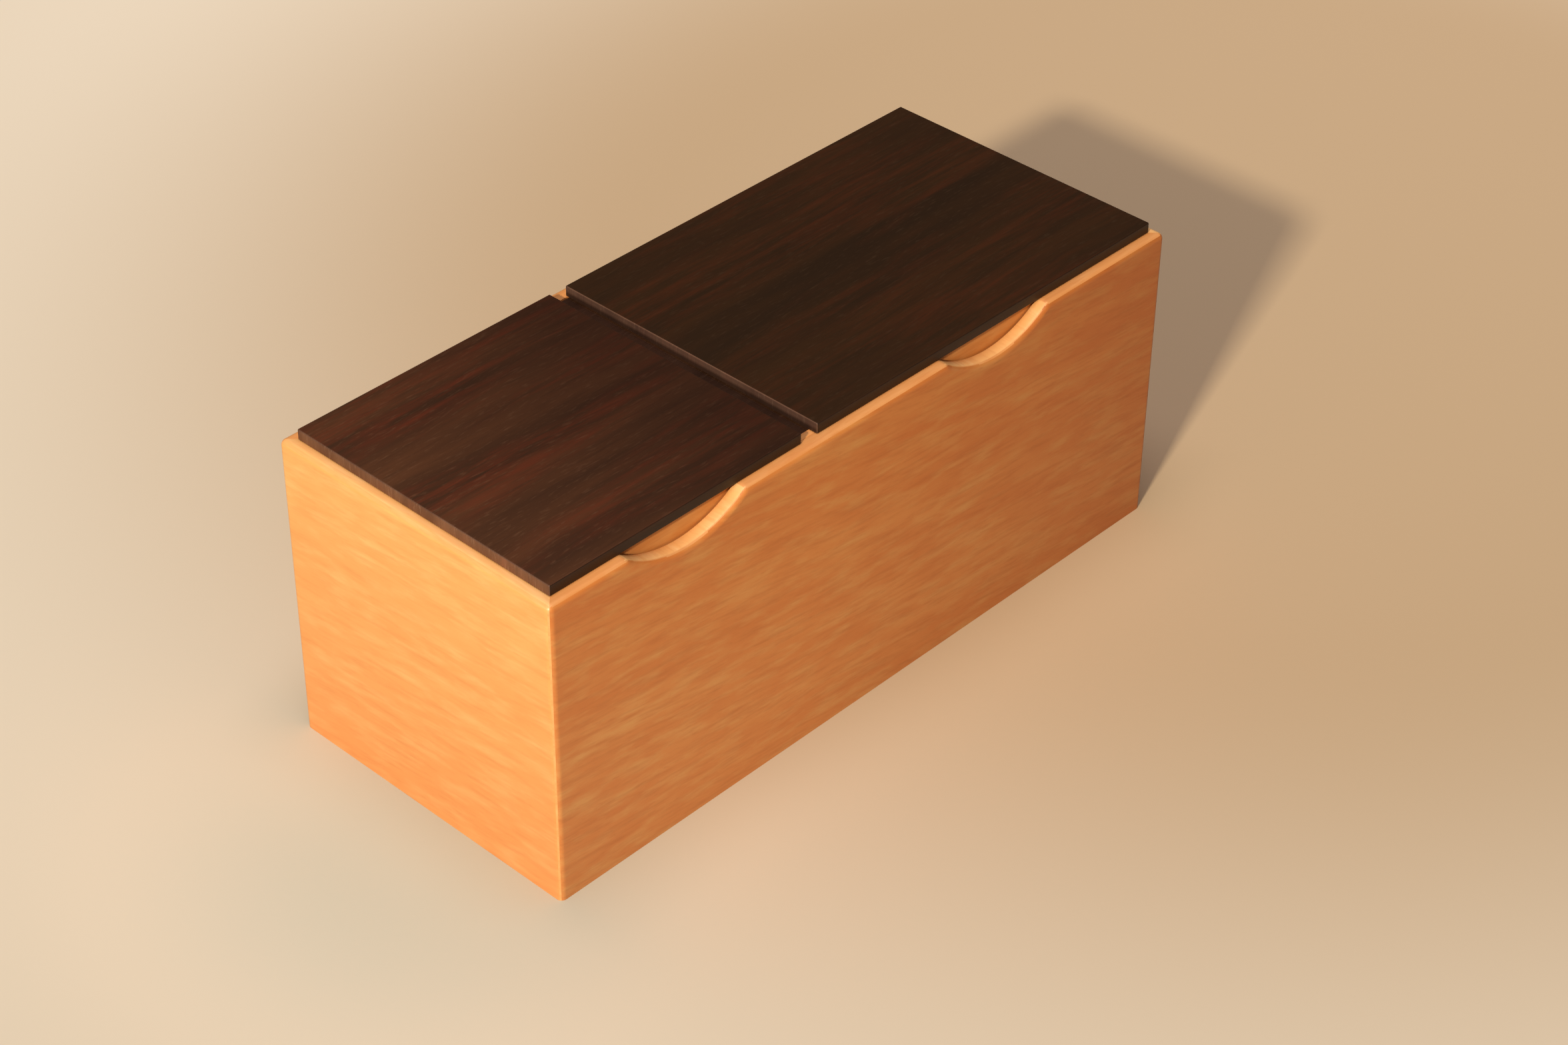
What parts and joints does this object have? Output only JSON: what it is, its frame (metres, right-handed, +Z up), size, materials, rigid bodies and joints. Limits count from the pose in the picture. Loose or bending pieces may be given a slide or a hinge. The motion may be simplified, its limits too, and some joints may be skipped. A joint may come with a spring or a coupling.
{
  "type": "wooden puzzle box",
  "caption": "Mitred wooden box with short and long dark lift-off lids, finger notches and a divider whose loose brass pins lock the lids as it is tilted",
  "frame": {"origin": "middle of the underside, on the surface that the box stands on", "axes": "+X along the length towards the large lid, +Y to the back, away from the finger notches, +Z up"},
  "size_m": [0.212, 0.09, 0.0885],
  "materials": {
    "light_wood": "honey-coloured hardwood, fine straight grain, satin oil",
    "inner_wood": "the same hardwood left bare, sanded",
    "dark_wood": "dark brown rosewood with reddish streaks, satin",
    "brass": "turned and bright"
  },
  "bodies": {
    "box": {"front_wall": "light_wood", "back_wall": "light_wood", "left_end_wall": "light_wood", "right_end_wall": "light_wood", "bottom_panel": "inner_wood", "divider": "inner_wood", "divider_inlay": "dark_wood", "front_pin_bushings": "brass", "back_pin_bushings": "brass"},
    "small_lid": {"small_lid_top": "dark_wood", "small_lid_front_lip": "inner_wood", "small_lid_back_lip": "inner_wood", "small_lid_outer_lip": "inner_wood", "small_lid_inner_lip": "inner_wood"},
    "large_lid": {"large_lid_top": "dark_wood", "large_lid_front_lip": "inner_wood", "large_lid_back_lip": "inner_wood", "large_lid_outer_lip": "inner_wood", "large_lid_inner_lip": "inner_wood"},
    "front_pin": {"front_lock_pin": "brass", "front_pin_collar": "brass"},
    "back_pin": {"back_lock_pin": "brass", "back_pin_collar": "brass"}
  },
  "joints": [
    {"name": "small_lid_lift", "type": "slide", "parent": "box", "child": "small_lid", "axis": [0, 0, 1], "range_m": [0, 0.06]},
    {"name": "large_lid_lift", "type": "slide", "parent": "box", "child": "large_lid", "axis": [0, 0, 1], "range_m": [0, 0.06]},
    {"name": "front_pin_slide", "type": "slide", "parent": "box", "child": "front_pin", "axis": [1, 0, 0], "range_m": [-0.003, 0.003]},
    {"name": "back_pin_slide", "type": "slide", "parent": "box", "child": "back_pin", "axis": [1, 0, 0], "range_m": [-0.003, 0.003]}
  ]
}
